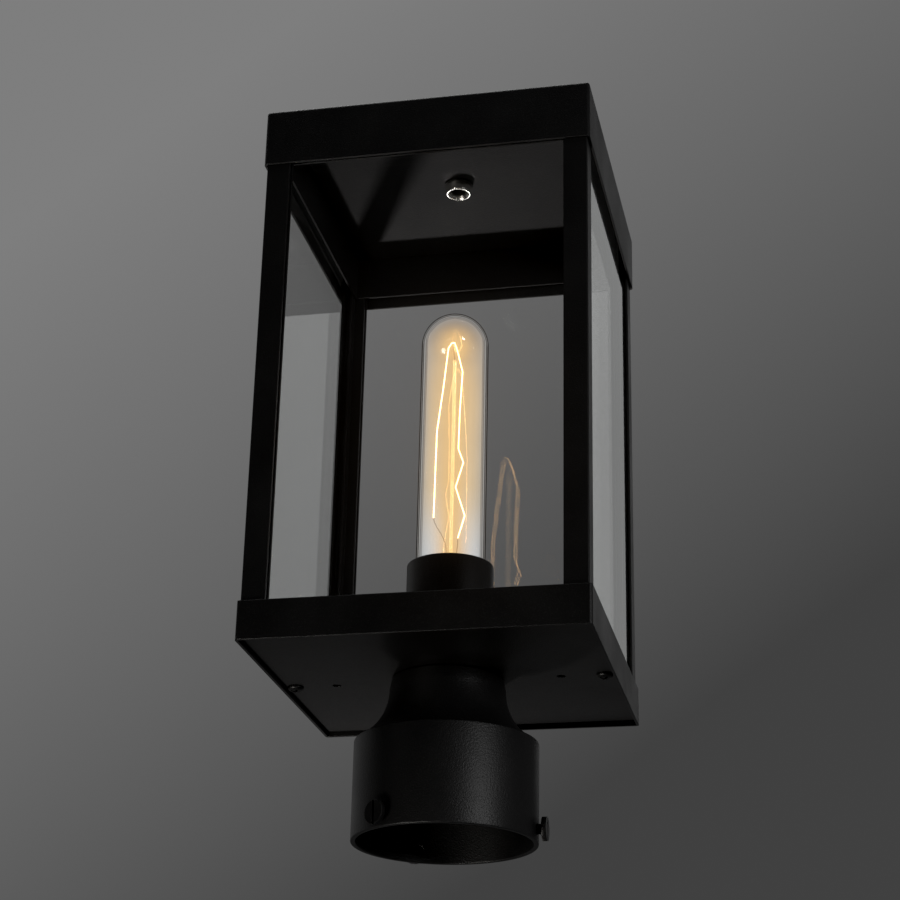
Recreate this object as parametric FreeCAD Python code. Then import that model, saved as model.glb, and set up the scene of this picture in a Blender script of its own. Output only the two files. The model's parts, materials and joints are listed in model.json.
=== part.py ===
"""Square glass post top lantern with a tubular filament lamp, in millimetres.

The origin is the centre of the post fitter's rim. +Z is up, and the front faces -Y.
Three groups of pieces come apart: the foot (fitter, bottom plate and lampholder), the
glazed cage that stands on it, and the lamp.
"""
import FreeCAD, Part
import math
import os

Vector = FreeCAD.Vector
UP = Vector(0, 0, 1)

# ---- driving dimensions -------------------------------------------------------------
# Cage
cage_width = 152.0            # outside width of roof and skirt
cage_height = 259.0           # skirt's lower edge to the roof's top
roof_skirt_height = 28.5
roof_sheet = 1.0
base_skirt_height = 17.5
skirt_sheet = 1.2
fold_radius = 1.5             # outside radius of a folded edge
post_inset = 1.3              # posts' outer faces inside the skirts' outer faces
post_width = 10.9             # outer leaf of a corner post
post_wall = 1.2
post_corner_radius = 0.6
post_top_gap = 0.2            # posts' tops to the roof
glass_thickness = 3.0
glass_clearance = 0.15        # each side of a pane in its groove
pane_edge_gap = 0.5           # pane's edge to the groove's bottom
pane_lap = 6.0                # pane's top above the roof skirt's lower edge
pane_seat_height = 1.0
pane_seat_length = 120.0
ring_wall = 1.0
ring_height = 24.5            # depth of the top ring's upright leaf
ring_flange = 11.0            # width of the top ring's flat leaf
ceiling_sheet = 1.0
ceiling_clearance = 0.4       # ceiling plate's edge to the ring's upright leaf
ledge_sheet = 2.0
ledge_width = 13.0

# Tube and nuts in the roof
nipple_radius = 4.8
nipple_bore = 3.5             # radius
thread_clearance = 0.05       # radial, screw to tapped hole
hole_clearance = 0.25         # radial, screw to plain hole
ring_nut_radius = 6.3
ring_nut_height = 4.7
nipple_recess = 1.5           # tube's lower end above the ring nut's face
nut_washer_radius = 7.0
nut_washer_thickness = 0.8
cap_seal_radius = 8.5
cap_seal_thickness = 1.0
cap_radius = 8.0
cap_height = 4.5
cap_thread_depth = 3.1
cap_chamfer = 1.2

# Foot
post_bore_radius = 38.6       # takes a 3 in post
fitter_wall = 2.2             # collar's wall round the post
collar_height = 44.0
post_stop_height = 40.0       # how far the post goes in
post_stop_width = 2.0
neck_radius = 25.0            # at the bottom plate
neck_taper = 0.9              # growth in radius down to the flare
neck_taper_height = 5.0
neck_chamfer = 0.6
neck_height = 27.5            # collar's top edge to the skirt's lower edge
flare_wall = 3.2
flare_drafts = 3              # straight faces of the hollow inside the flare
fitter_web = 3.5
rim_chamfer = 0.4
plate_recess = 2.0            # bottom plate's face above the skirt's lower edge
plate_sheet = 1.5
plate_clearance = 0.3         # bottom plate's edge to the skirt
weep_hole_radius = 2.0
weep_hole_reach = 51.0        # from the middle
plate_screw_radius = 2.0
plate_screw_edge = 4.5        # screw's axis to the skirt's inner face
plate_screw_shy = 0.1         # screw's end below the ledge's top
screw_head_radius = 3.7
screw_head_height = 2.1
head_chamfer_share = 0.4      # of a screw head's height

# Threaded tube that clamps the foot together
stem_radius = 5.0
stem_bore = 3.9               # radius
stem_nut_flats = 17.0
stem_nut_height = 3.5
stem_washer_radius = 9.5
stem_washer_thickness = 1.0
stem_overhang = 1.8           # tube beyond each nut
strap_nut_flats = 14.0
ground_screw_radius = 1.9
ground_head_radius = 3.2
ground_head_height = 2.0
ground_screw_depth = 3.0
ground_screw_reach = 16.0

# Lampholder
cup_height = 52.2             # above the bottom plate
cup_wall = 1.0
cup_chamfer = 0.6
strap_width = 12.0
strap_sheet = 1.5
strap_clearance = 0.8         # strap's corners to the cup
holder_clearance = 0.5        # ceramic body to the cup
holder_height = 43.5
holder_recess_height = 6.0    # pocket over the strap nut
holder_recess_wall = 0.5      # screw hole to the pocket
holder_floor = 3.5            # ceramic between pocket and well
holder_collar_depth = 3.0     # wide mouth above the shell's seat
holder_collar_wall = 1.9
holder_chamfer = 0.8
holder_screw_radius = 1.5
holder_head_radius = 1.9
holder_head_height = 1.4
holder_head_gap = 0.2         # screw head to the well's wall
shell_wall = 0.5
shell_clearance = 0.4         # lamp cap to the shell, radial
shell_gap = 0.3               # shell to the ceramic well
shell_lift = 3.0              # shell's lower edge above the well's floor
shell_flange = 1.2
flange_clearance = 1.2        # shell's rim to the ceramic mouth
contact_width = 6.0
contact_sheet = 0.5
contact_reach = 9.0
contact_rise = 2.7            # top of the tongue above the well's floor
contact_bend = 1.2            # tongue's upper bend from the axis
contact_tip = 2.0             # tongue's end beyond the axis
contact_offset = 0.3          # under face's bends nearer the tip
rivet_radius = 1.2
rivet_head_radius = 1.9
rivet_head_height = 0.6

# Lamp
lamp_length = 165.0
lamp_radius = 15.9
lamp_wall = 0.7
lamp_cap_radius = 13.1
lamp_cap_height = 27.0        # tip to the cap's upper rim
lamp_cap_wall = 0.4
lamp_cap_taper = 2.9
lamp_tip_radius = 4.6
lamp_tip_height = 0.6
insulator_height = 2.3
insulator_plug = 1.4
insulator_rim = 0.4           # insulator beyond the tip
glass_in_cap = 11.0           # length of glass neck inside the cap
shoulder_height = 10.5
stem_tube_radius = 4.2
stem_flare_height = 1.0
stem_cone_width = 1.5
stem_cone_height = 2.5
stem_tube_height = 18.0
stem_rod_radius = 1.1
rod_below_top = 23.0          # rod's end below the lamp's top
wire_radius = 0.3
wire_gap = 0.4                # support wire to what it holds
filament_radius = 0.4
filament_reach = 8.6          # widest point from the lamp's axis
filament_foot = 15.3          # filament's lowest point above the stem's step
filament_below_top = 13.7     # filament's peak below the lamp's top
lead_spread = 2.6             # lead wires' place on the stem's step

# Thumb screws
thumb_angles = {"right": 0.0, "back_left": 120.0, "front_left": 240.0}
thumb_radius = 2.4
thumb_head_radius = 5.2
thumb_head_thickness = 2.2
thumb_rim_gap = 0.4           # head's edge above the rim
thumb_head_gap = 2.15         # head to the collar at rest
thumb_tip_shy = 0.15          # tip inside the collar's wall at rest
thumb_slot_width = 1.3
thumb_slot_depth = 1.1
thumb_chamfer = 0.4

# ---- levels and half widths that follow ---------------------------------------------
skirt_z = collar_height + neck_height
plate_z = skirt_z + plate_recess
plate_top = plate_z + plate_sheet
ledge_top = plate_top + ledge_sheet
roof_top = skirt_z + cage_height
roof_under = roof_top - roof_sheet
roof_edge_z = roof_top - roof_skirt_height
ring_flange_z = roof_under - ring_wall
ceiling_z = ring_flange_z - ceiling_sheet

half = cage_width / 2
skirt_inner = half - skirt_sheet
post_outer = half - post_inset
groove_outer = post_outer - post_wall
groove_width = glass_thickness + 2 * glass_clearance
groove_inner = groove_outer - groove_width
post_inner = groove_inner - post_wall
post_edge = post_outer - post_width
ring_inner = post_inner - ring_wall
ledge_inner = skirt_inner - ledge_width
plate_half = skirt_inner - plate_clearance
pane_bottom = ledge_top + pane_seat_height
pane_top = roof_edge_z + pane_lap
pane_half = post_inner - pane_edge_gap
pane_middle = groove_inner + groove_width / 2

washer_z = ceiling_z - nut_washer_thickness
ring_nut_z = washer_z - ring_nut_height
cap_z = roof_top + cap_seal_thickness

web_under = plate_z - fitter_web
stem_washer_z = web_under - stem_washer_thickness
stem_nut_z = stem_washer_z - stem_nut_height
strap_z = plate_top + cup_wall
strap_top = strap_z + strap_sheet
strap_nut_top = strap_top + stem_nut_height
stem_hole = stem_radius + hole_clearance

fitter_radius = post_bore_radius + fitter_wall
thumb_height = thumb_head_radius + thumb_rim_gap
thumb_tip = post_bore_radius + thumb_tip_shy
thumb_seat = fitter_radius + thumb_head_gap

cup_top = plate_top + cup_height
holder_z = strap_top
holder_top = holder_z + holder_height
well_floor = holder_z + holder_recess_height + holder_floor
shell_seat = holder_top - holder_collar_depth
shell_radius = lamp_cap_radius + shell_clearance + shell_wall
shell_rim = shell_radius + shell_flange
well_radius = shell_radius + shell_gap
holder_mouth = shell_rim + flange_clearance
holder_radius = holder_mouth + holder_collar_wall
cup_inner = holder_radius + holder_clearance
cup_radius = cup_inner + cup_wall
strap_half = math.sqrt((cup_inner - strap_clearance) ** 2 - (strap_width / 2) ** 2)
holder_screw_reach = well_radius - holder_head_gap - holder_head_radius
holder_screw_hole = holder_screw_radius + hole_clearance
holder_recess_radius = holder_screw_reach - holder_screw_hole - holder_recess_wall
lamp_z = well_floor + contact_rise
lamp_top = lamp_z + lamp_length
lamp_cap_top = lamp_z + lamp_cap_height
lamp_neck_radius = lamp_cap_radius - lamp_cap_wall - thread_clearance
neck_inner = lamp_neck_radius - lamp_wall
glass_z = lamp_cap_top - glass_in_cap
insulator_z = lamp_z + lamp_tip_height
cap_shell_z = insulator_z + insulator_height
stem_step_z = glass_z + stem_flare_height + stem_tube_height
rod_top = lamp_top - rod_below_top
filament_low = stem_step_z + filament_foot
filament_peak = lamp_top - filament_below_top


# ---- shapes -------------------------------------------------------------------------
def block(x0, y0, z0, x1, y1, z1):
    return Part.makeBox(x1 - x0, y1 - y0, z1 - z0, Vector(x0, y0, z0))


def slab(half_width, z0, z1):
    """Square plate centred on the axis."""
    return block(-half_width, -half_width, z0, half_width, half_width, z1)


def disc(radius, z0, z1, x=0.0, y=0.0):
    return Part.makeCylinder(radius, z1 - z0, Vector(x, y, z0), UP)


def washer(radius, bore, z0, z1):
    return disc(radius, z0, z1).cut(disc(bore, z0, z1))


def upright_edges(shape):
    """Edges that run straight up."""
    return [e for e in shape.Edges if e.BoundBox.ZLength > 1e-6
            and e.BoundBox.XLength < 1e-6 and e.BoundBox.YLength < 1e-6]


def level_edges(shape, z):
    """Edges that lie at one height."""
    return [e for e in shape.Edges if abs(e.BoundBox.ZMin - z) < 1e-6
            and abs(e.BoundBox.ZMax - z) < 1e-6]


def rounded_slab(half_width, z0, z1, radius):
    plate = slab(half_width, z0, z1)
    return plate.makeFillet(radius, upright_edges(plate))


def square_ring(outer, inner, z0, z1, radius):
    """Square ring whose outer corners are rounded."""
    return rounded_slab(outer, z0, z1, radius).cut(slab(inner, z0, z1))


def line(start, end):
    return Part.makeLine(Vector(start[0], 0, start[1]), Vector(end[0], 0, end[1]))


def arc(start, through, end):
    points = [Vector(r, 0, z) for r, z in (start, through, end)]
    return Part.Arc(*points).toShape()


def turned(edges):
    """Solid of revolution about the axis, from edges in (radius, height)."""
    face = Part.Face(Part.Wire(edges))
    return face.revolve(Vector(0, 0, 0), UP, 360)


def turned_points(points):
    """Solid of revolution of a closed polygon of (radius, height)."""
    ring = points + points[:1]
    return turned([line(a, b) for a, b in zip(ring, ring[1:])])


def hexagon(flats, bore, z0, z1):
    """Hexagon nut with a round bore."""
    corner = flats / math.sqrt(3)
    ring = [Vector(corner * math.cos(math.radians(60 * n)),
                   corner * math.sin(math.radians(60 * n)), z0) for n in range(7)]
    nut = Part.Face(Part.makePolygon(ring)).extrude(Vector(0, 0, z1 - z0))
    chamfered = nut.common(turned_points([
        (0, z0), (flats / 2, z0), (corner, z0 + (corner - flats / 2) / 2),
        (corner, z1 - (corner - flats / 2) / 2), (flats / 2, z1), (0, z1)]))
    return chamfered.cut(disc(bore, z0, z1))


def pan_head(x, y, z, radius, height, down):
    """Head of a pan head screw on a seat at z, pointing down or up."""
    sign = -1 if down else 1
    head = Part.makeCylinder(radius, height, Vector(x, y, z), Vector(0, 0, sign))
    return head.makeChamfer(height * head_chamfer_share, level_edges(head, z + sign * height))


def wire(points, radius):
    """Round wire along straight runs."""
    corners = [Vector(*p) for p in points]
    path = Part.makePolygon(corners)
    section = Part.Wire(Part.makeCircle(radius, corners[0], corners[1] - corners[0]))
    return Part.Wire(path).makePipeShell([section], True, False, 1)


def radial(shape, angle):
    """Turns a shape made along +X to its angle about the axis."""
    turned_shape = shape.copy()
    turned_shape.rotate(Vector(0, 0, 0), UP, angle)
    return turned_shape


def save(node, *solids):
    shape = solids[0] if len(solids) == 1 else Part.makeCompound(solids)
    shape.exportStep("parts/" + node + ".step")


# ---- cage ---------------------------------------------------------------------------
def roof_cover():
    """Folded tray, open below, with the tube's hole in the middle."""
    outer = slab(half, roof_edge_z, roof_top)
    outer = outer.makeFillet(fold_radius, upright_edges(outer) + level_edges(outer, roof_top))
    hollow = slab(half - roof_sheet, roof_edge_z, roof_under)
    bend = max(fold_radius - roof_sheet, 0.1)
    hollow = hollow.makeFillet(bend, upright_edges(hollow) + level_edges(hollow, roof_under))
    return outer.cut(hollow).cut(disc(nipple_radius + hole_clearance, roof_under, roof_top))


def top_ring():
    """Folded angle: an upright leaf inside the posts and a flat leaf under the roof."""
    upright = slab(post_inner, roof_under - ring_height, roof_under)
    upright = upright.cut(slab(ring_inner, roof_under - ring_height, roof_under))
    flange = slab(post_inner, ring_flange_z, roof_under)
    flange = flange.cut(slab(post_inner - ring_flange, ring_flange_z, roof_under))
    return upright.fuse(flange).removeSplitter()


def ceiling_plate():
    plate = slab(ring_inner - ceiling_clearance, ceiling_z, ring_flange_z)
    return plate.cut(disc(nipple_radius + hole_clearance, ceiling_z, ring_flange_z))


def corner_post(side_x, side_y):
    """Outer and inner angle on a square core, which leaves a groove for each pane."""
    top = roof_under - post_top_gap

    def angle(low, high):
        along_x = block(post_edge, low, ledge_top, high, high, top)
        return along_x.fuse(block(low, post_edge, ledge_top, high, high, top))

    outer = angle(groove_outer, post_outer).removeSplitter()
    corner = [e for e in upright_edges(outer) if e.BoundBox.XMin > post_outer - 1e-6
              and e.BoundBox.YMin > post_outer - 1e-6]
    outer = outer.makeFillet(post_corner_radius, corner)
    core = block(post_inner, post_inner, ledge_top, groove_outer, groove_outer, top)
    post = outer.fuse([angle(post_inner, groove_inner), core]).removeSplitter()
    if side_x < 0:
        post = post.mirror(Vector(0, 0, 0), Vector(1, 0, 0))
    if side_y < 0:
        post = post.mirror(Vector(0, 0, 0), Vector(0, 1, 0))
    return post


def front_strip(half_length, z0, z1):
    """Strip in the middle of the front groove."""
    reach = glass_thickness / 2
    return block(-half_length, -pane_middle - reach, z0, half_length, -pane_middle + reach, z1)


def base_skirt():
    """Square band with folded corners."""
    outer = rounded_slab(half, skirt_z, skirt_z + base_skirt_height, fold_radius)
    bend = max(fold_radius - skirt_sheet, 0.1)
    return outer.cut(rounded_slab(skirt_inner, skirt_z, skirt_z + base_skirt_height, bend))


def base_ledge():
    """Flat ring that the posts stand on, tapped for the two plate screws."""
    ring = square_ring(skirt_inner, ledge_inner, plate_top, ledge_top,
                       max(fold_radius - skirt_sheet, 0.1))
    for side in (-1, 1):
        x = side * (skirt_inner - plate_screw_edge)
        ring = ring.cut(disc(plate_screw_radius + thread_clearance, plate_top, ledge_top, x))
    return ring


def build_cage():
    save("roof_cover", roof_cover())
    save("top_ring", top_ring())
    save("ceiling_plate", ceiling_plate())
    for depth, side_y in (("front", -1), ("back", 1)):
        for hand, side_x in (("left", -1), ("right", 1)):
            save("corner_post_" + depth + "_" + hand, corner_post(side_x, side_y))
    pane = front_strip(pane_half, pane_bottom, pane_top)
    seat = front_strip(pane_seat_length / 2, ledge_top, pane_bottom)
    for name, angle in (("front", 0), ("right", 90), ("back", 180), ("left", 270)):
        save("pane_" + name, radial(pane, angle))
        save("pane_seat_" + name, radial(seat, angle))
    save("base_skirt", base_skirt())
    save("base_ledge", base_ledge())


def build_roof_fixing():
    bore = nipple_radius + thread_clearance
    cap_inside = cap_z + cap_thread_depth
    save("ring_nut_washer", washer(nut_washer_radius, nipple_radius + hole_clearance,
                                   washer_z, ceiling_z))
    save("roof_ring_nut", washer(ring_nut_radius, bore, ring_nut_z, washer_z))
    save("roof_nipple", washer(nipple_radius, nipple_bore, ring_nut_z + nipple_recess,
                               cap_inside))
    save("cap_seal", washer(cap_seal_radius, nipple_radius + hole_clearance, roof_top, cap_z))
    cap = disc(cap_radius, cap_z, cap_z + cap_height)
    cap = cap.makeChamfer(cap_chamfer, level_edges(cap, cap_z + cap_height))
    save("roof_cap", cap.cut(disc(bore, cap_z, cap_inside)))


# ---- foot ---------------------------------------------------------------------------
def thumb_hole(radius):
    reach = fitter_radius + 1
    return Part.makeCylinder(radius, reach, Vector(0, 0, thumb_height), Vector(1, 0, 0))


def post_fitter():
    """Cast collar and flared neck, hollow from the rim up to a drilled web."""
    # The flare is one arc, upright where it leaves the tapered neck.
    waist_r = neck_radius + neck_taper
    waist_z = plate_z - neck_taper_height
    drop = waist_z - collar_height
    spread = fitter_radius - waist_r
    flare = (spread * spread + drop * drop) / (2 * spread)
    centre_r = waist_r + flare

    def on_flare(radius, angle):
        """Point of an arc about the flare's centre, at an angle below its upper end."""
        return centre_r - radius * math.cos(angle), waist_z - radius * math.sin(angle)

    inner = flare + flare_wall
    stop_r = post_bore_radius - post_stop_width
    outer_end = math.acos((centre_r - fitter_radius) / flare)
    inner_end = math.acos((centre_r - stop_r) / inner)
    hollow = [on_flare(inner, inner_end * n / flare_drafts) for n in range(flare_drafts + 1)]
    neck_bore = hollow[0][0]
    edges = [
        line((post_bore_radius, 0), (fitter_radius - rim_chamfer, 0)),
        line((fitter_radius - rim_chamfer, 0), (fitter_radius, rim_chamfer)),
        line((fitter_radius, rim_chamfer), (fitter_radius, collar_height)),
        arc((fitter_radius, collar_height), on_flare(flare, outer_end / 2),
            (waist_r, waist_z)),
        line((waist_r, waist_z), (neck_radius, plate_z - neck_chamfer)),
        line((neck_radius, plate_z - neck_chamfer), (neck_radius - neck_chamfer, plate_z)),
        line((neck_radius - neck_chamfer, plate_z), (stem_hole, plate_z)),
        line((stem_hole, plate_z), (stem_hole, web_under)),
        line((stem_hole, web_under), (neck_bore, web_under)),
        line((neck_bore, web_under), hollow[0]),
    ]
    edges += [line(upper, lower) for upper, lower in zip(hollow, hollow[1:])]
    edges += [
        line(hollow[-1], (stop_r, post_stop_height)),
        line((stop_r, post_stop_height), (post_bore_radius, post_stop_height)),
        line((post_bore_radius, post_stop_height), (post_bore_radius, 0)),
    ]
    fitter = turned(edges)
    for angle in thumb_angles.values():
        fitter = fitter.cut(radial(thumb_hole(thumb_radius + thread_clearance), angle))
    return fitter.cut(disc(ground_screw_radius + thread_clearance, web_under,
                           web_under + ground_screw_depth, ground_screw_reach))


def bottom_plate():
    plate = slab(plate_half, plate_z, plate_top).cut(disc(stem_hole, plate_z, plate_top))
    for side in (-1, 1):
        plate = plate.cut(disc(weep_hole_radius, plate_z, plate_top, side * weep_hole_reach))
        plate = plate.cut(disc(plate_screw_radius + hole_clearance, plate_z, plate_top,
                               side * (skirt_inner - plate_screw_edge)))
    return plate


def plate_screw(side):
    x = side * (skirt_inner - plate_screw_edge)
    shank = disc(plate_screw_radius, plate_z, ledge_top - plate_screw_shy, x)
    return pan_head(x, 0, plate_z, screw_head_radius, screw_head_height, True).fuse(shank)


def ground_screw():
    head = pan_head(ground_screw_reach, 0, web_under, ground_head_radius,
                    ground_head_height, True)
    return head.fuse(disc(ground_screw_radius, web_under, web_under + ground_screw_depth,
                          ground_screw_reach))


def build_foot():
    save("post_fitter", post_fitter())
    save("bottom_plate", bottom_plate())
    save("plate_screws", plate_screw(-1), plate_screw(1))
    save("ground_screw", ground_screw())
    tapped = stem_radius + thread_clearance
    save("stem_washer", washer(stem_washer_radius, stem_hole, stem_washer_z, web_under))
    save("stem_nut", hexagon(stem_nut_flats, tapped, stem_nut_z, stem_washer_z))
    save("strap_nut", hexagon(strap_nut_flats, tapped, strap_top, strap_nut_top))
    save("stem_nipple", washer(stem_radius, stem_bore, stem_nut_z - stem_overhang,
                               strap_nut_top + stem_overhang / 2))


def thumb_screw():
    """Slotted disc head on a short shank, made along +X."""
    out = Vector(1, 0, 0)
    shank = Part.makeCylinder(thumb_radius, thumb_seat - thumb_tip,
                              Vector(thumb_tip, 0, thumb_height), out)
    tip_edges = [e for e in shank.Edges if e.BoundBox.XMax < thumb_tip + 1e-6]
    shank = shank.makeChamfer(thumb_chamfer, tip_edges)
    head = Part.makeCylinder(thumb_head_radius, thumb_head_thickness,
                             Vector(thumb_seat, 0, thumb_height), out)
    head = head.makeChamfer(thumb_chamfer, [e for e in head.Edges if e.BoundBox.XLength < 1e-6])
    face = thumb_seat + thumb_head_thickness
    slot = block(face - thumb_slot_depth, -thumb_slot_width / 2,
                 thumb_height - thumb_head_radius, face, thumb_slot_width / 2,
                 thumb_height + thumb_head_radius)
    return head.fuse(shank).cut(slot)


def build_thumb_screws():
    for name, angle in thumb_angles.items():
        save("thumb_screw_" + name, radial(thumb_screw(), angle))


# ---- lampholder ---------------------------------------------------------------------
def socket_cup():
    """Deep drawn cup with its lip broken by a chamfer."""
    return turned_points([
        (stem_hole, plate_top), (cup_radius, plate_top), (cup_radius, cup_top - cup_chamfer),
        (cup_radius - cup_chamfer, cup_top), (cup_inner, cup_top), (cup_inner, strap_z),
        (stem_hole, strap_z)])


def holder_strap():
    bar = block(-strap_half, -strap_width / 2, strap_z,
                strap_half, strap_width / 2, strap_top)
    bar = bar.cut(disc(stem_hole, strap_z, strap_top))
    for side in (-1, 1):
        bar = bar.cut(disc(holder_screw_radius + thread_clearance, strap_z, strap_top,
                           side * holder_screw_reach))
    return bar


def lamp_holder():
    """Ceramic body: a pocket over the nut, a floor, a well and a wider mouth."""
    body = turned_points([
        (holder_recess_radius, holder_z), (holder_radius, holder_z),
        (holder_radius, holder_top - holder_chamfer), (holder_radius - holder_chamfer, holder_top),
        (holder_mouth, holder_top), (holder_mouth, shell_seat), (well_radius, shell_seat),
        (well_radius, well_floor), (0, well_floor),
        (0, holder_z + holder_recess_height),
        (holder_recess_radius, holder_z + holder_recess_height)])
    for side in (-1, 1):
        body = body.cut(disc(holder_screw_hole, holder_z, well_floor, side * holder_screw_reach))
    return body.cut(disc(rivet_radius + thread_clearance, holder_z, well_floor,
                         0, contact_reach - contact_width / 2))


def holder_screw(side):
    x = side * holder_screw_reach
    head = pan_head(x, 0, well_floor, holder_head_radius, holder_head_height, False)
    return head.fuse(disc(holder_screw_radius, strap_z, well_floor, x))


def screw_shell():
    """Shell with an outward rim that hangs on the ceramic step."""
    inner = shell_radius - shell_wall
    bottom = well_floor + shell_lift
    rim_top = shell_seat + shell_wall
    return turned_points([
        (inner, bottom), (shell_radius, bottom), (shell_radius, shell_seat),
        (shell_rim, shell_seat), (shell_rim, rim_top), (inner, rim_top)])


def centre_contact():
    """Sprung tongue that rises from a riveted foot to the middle."""
    low, top = well_floor, lamp_z
    foot_end = contact_reach - contact_width
    points = [(contact_reach, low), (contact_reach, low + contact_sheet),
              (foot_end, low + contact_sheet), (contact_bend, top), (-contact_tip, top),
              (-contact_tip, top - contact_sheet),
              (contact_bend - contact_offset, top - contact_sheet),
              (foot_end - contact_offset, low)]
    ring = [Vector(-contact_width / 2, y, z) for y, z in points + points[:1]]
    leaf = Part.Face(Part.makePolygon(ring)).extrude(Vector(contact_width, 0, 0))
    return leaf.cut(disc(rivet_radius + thread_clearance, low, low + contact_sheet,
                         0, contact_reach - contact_width / 2))


def contact_rivet():
    y = contact_reach - contact_width / 2
    seat = well_floor + contact_sheet
    head = disc(rivet_head_radius, seat, seat + rivet_head_height, 0, y)
    return head.fuse(disc(rivet_radius, holder_z + holder_recess_height, seat, 0, y))


def build_lampholder():
    save("socket_cup", socket_cup())
    save("holder_strap", holder_strap())
    save("lamp_holder", lamp_holder())
    save("holder_screws", holder_screw(-1), holder_screw(1))
    save("screw_shell", screw_shell())
    save("centre_contact", centre_contact())
    save("contact_rivet", contact_rivet())


# ---- lamp ---------------------------------------------------------------------------
def bulb_glass():
    """Thin tube with a round end, drawn in to a neck at the cap."""
    def outline(radius, neck, end):
        """Edges from the neck's foot to the top of one side of the wall."""
        dome_z = end - radius
        slant = math.sqrt(0.5) * radius
        full = radius, lamp_cap_top + shoulder_height
        return [line((neck, glass_z), (neck, lamp_cap_top)), line((neck, lamp_cap_top), full),
                line(full, (radius, dome_z)),
                arc((radius, dome_z), (slant, dome_z + slant), (0, end))]

    inner_end = lamp_top - lamp_wall
    outside = outline(lamp_radius, lamp_neck_radius, lamp_top)
    inside = outline(lamp_radius - lamp_wall, neck_inner, inner_end)
    return turned(outside + [line((0, lamp_top), (0, inner_end))] + inside[::-1]
                  + [line((neck_inner, glass_z), (lamp_neck_radius, glass_z))])


def bulb_base():
    """Lamp cap's shell, tapered in at its foot."""
    inner = lamp_cap_radius - lamp_cap_wall
    low = cap_shell_z
    foot = lamp_cap_radius - lamp_cap_taper / 2
    return turned_points([
        (foot - lamp_cap_wall, low), (foot, low), (lamp_cap_radius, low + lamp_cap_taper),
        (lamp_cap_radius, lamp_cap_top), (inner, lamp_cap_top), (inner, low + lamp_cap_taper)])


def bulb_insulator():
    foot = lamp_cap_radius - lamp_cap_taper / 2
    plug = foot - lamp_cap_wall - thread_clearance
    return turned_points([
        (0, insulator_z), (lamp_tip_radius + insulator_rim, insulator_z), (foot, cap_shell_z),
        (plug, cap_shell_z), (plug, cap_shell_z + insulator_plug),
        (0, cap_shell_z + insulator_plug)])


def bulb_contact():
    tip = disc(lamp_tip_radius, lamp_z, insulator_z)
    return tip.makeChamfer(lamp_tip_height / 2, level_edges(tip, lamp_z))


def bulb_stem():
    """Glass foot that closes the neck, a tube and the rod that holds the wires."""
    foot = neck_inner - thread_clearance
    return turned_points([
        (0, glass_z), (foot, glass_z), (foot, glass_z + stem_flare_height),
        (stem_tube_radius + stem_cone_width, glass_z + stem_flare_height),
        (stem_tube_radius, glass_z + stem_flare_height + stem_cone_height),
        (stem_tube_radius, stem_step_z),
        (stem_rod_radius, stem_step_z), (stem_rod_radius, rod_top), (0, rod_top)])


# Each point is (x, y, z): x and y as shares of the filament's reach, and z as the share of
# the way up from its lowest point to its peak.
left_strand = [(-1.0, 0.06, 0.12), (-0.93, 0.06, 0.55), (-0.62, 0.06, 0.78),
               (-0.38, 0.0, 0.975), (-0.2, 0.0, 1.0)]
right_strand = [(-0.02, -0.05, 0.998), (0.19, -0.23, 0.945), (0.52, -0.35, 0.83),
                (0.41, -0.35, 0.635), (0.37, -0.35, 0.44), (0.66, -0.35, 0.37),
                (0.26, -0.35, 0.25), (0.79, -0.35, 0.107), (0.44, -0.35, 0.0)]
supported_point = right_strand[3]


def in_lamp(point):
    """Real place of a strand's point."""
    x, y, rise = point
    height = filament_low + rise * (filament_peak - filament_low)
    return x * filament_reach, y * filament_reach, height


def filament():
    return wire([in_lamp(p) for p in left_strand + right_strand], filament_radius)


def lead_wire(side, strand_end):
    """From the stem's step up to just under a strand's end."""
    x, y, z = strand_end
    end_z = z - filament_radius
    bend_z = (stem_step_z + end_z) / 2
    points = [(side * lead_spread, 0, stem_step_z), (side * lead_spread, 0, bend_z),
              (x, y, end_z - 2 * wire_radius), (x, y, end_z)]
    return wire(points, wire_radius)


def anchor(start, end):
    """Straight support wire between a rod and the filament, just clear of both."""
    a, b = Vector(*start), Vector(*end)
    along = b - a
    length = along.Length - filament_radius - 2 * wire_gap
    return Part.makeCylinder(wire_radius, length, a + along.normalize() * wire_gap, along)


def build_lamp():
    save("bulb_glass", bulb_glass())
    save("bulb_base", bulb_base())
    save("bulb_insulator", bulb_insulator())
    save("bulb_contact", bulb_contact())
    save("bulb_stem", bulb_stem())
    save("bulb_filament", filament())
    save("bulb_lead_wires", lead_wire(-1, in_lamp(left_strand[0])),
         lead_wire(1, in_lamp(right_strand[-1])))
    support = in_lamp(supported_point)
    save("filament_anchors", anchor((0, 0, rod_top), in_lamp(left_strand[-1])),
         anchor((stem_rod_radius, 0, support[2]), support))


os.makedirs("parts", exist_ok=True)
build_cage()
build_roof_fixing()
build_foot()
build_thumb_screws()
build_lampholder()
build_lamp()
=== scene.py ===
"""Looks of a square glass post top lantern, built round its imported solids.

Sizes are in millimetres and become metres as a mesh is made. The origin is the centre of
the post fitter's rim, +Z is up and the front faces -Y.
"""
import json
import math

import bpy
from mathutils import Matrix, Vector

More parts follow.
